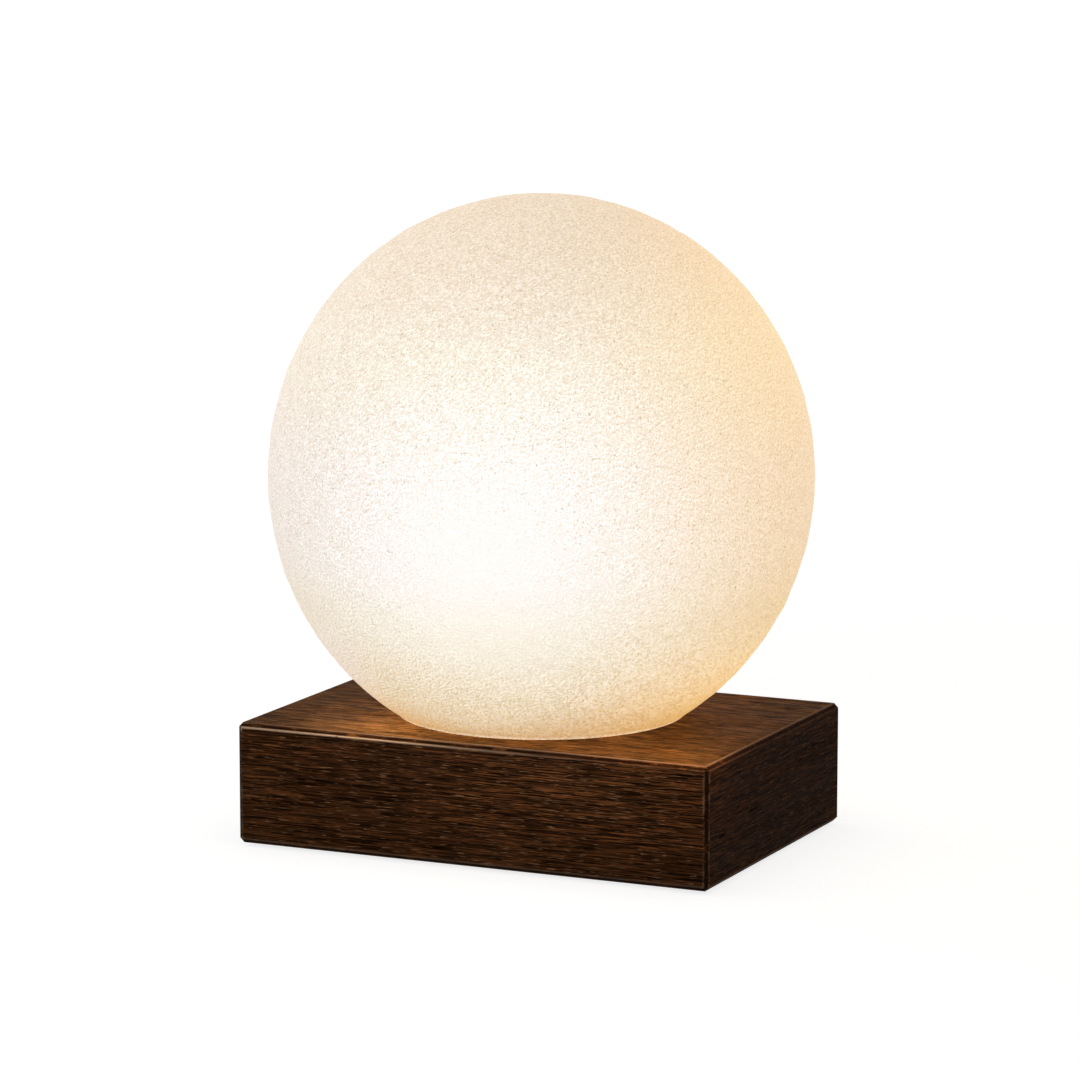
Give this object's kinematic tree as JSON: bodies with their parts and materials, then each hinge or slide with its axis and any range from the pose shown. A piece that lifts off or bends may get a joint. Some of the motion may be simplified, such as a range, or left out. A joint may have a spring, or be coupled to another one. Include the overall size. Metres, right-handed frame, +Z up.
{
  "type": "salt lamp",
  "caption": "Table lamp: a glowing globe of pressed white salt lifts off a dark wood block that carries a screw-in bulb.",
  "frame": {"origin": "on the floor, under the middle of the wood block and on the axis of the globe and bulb", "axes": "+Z up, -Y the long front face of the block, +X its right end, +Y the back with the cord inlet"},
  "size_m": [0.18, 0.18, 0.214],
  "materials": {
    "salt": "fine matt grain, lit from inside",
    "felt": "thin dark felt",
    "stained_wood": "dark stain, satin lacquer",
    "rubber": "matt",
    "black_plate": "fine powder coat",
    "zinc_steel": "zinc plated",
    "spun_aluminium": "spun satin",
    "phenolic": "satin moulded",
    "ceramic": "unglazed",
    "contact_brass": "bright stamped",
    "nickel": "nickel plated",
    "black_glass": "glossy",
    "clear_glass": "clear",
    "board": "solder mask",
    "wire": "drawn wire",
    "light_stick": "phosphor coat"
  },
  "bodies": {
    "base": {"wood_base": "stained_wood", "rubber_feet": "rubber", "bottom_cover": "black_plate", "cover_screws": "zinc_steel", "cord_grommet": "rubber", "locating_collar": "spun_aluminium", "collar_screws": "zinc_steel", "threaded_nipple": "zinc_steel", "nipple_washer": "zinc_steel", "lock_washer": "zinc_steel", "nipple_nut": "zinc_steel", "holder_cap": "phenolic", "nipple_grub": "zinc_steel", "holder_core": "ceramic", "terminal_screws": "zinc_steel", "centre_contact": "contact_brass", "screw_shell": "contact_brass", "holder_skirt": "phenolic"},
    "bulb": {"bulb_glass": "clear_glass", "bulb_cap": "nickel", "cap_insulator": "black_glass", "cap_contact": "contact_brass", "driver_board": "board", "glass_stem": "clear_glass", "lead_wires": "wire", "filament_rings": "wire", "led_filaments": "light_stick"},
    "globe": {"salt_globe": "salt", "foot_pad": "felt"}
  },
  "joints": [
    {"name": "globe_lift", "type": "slide", "parent": "base", "child": "globe", "axis": [0, 0, 1], "range_m": [0, 0.1]},
    {"name": "bulb_turn", "type": "hinge", "parent": "base", "child": "bulb", "pos_m": [0, 0, 0.06], "axis": [0, 0, 1], "range_deg": [0, 1260]}
  ]
}
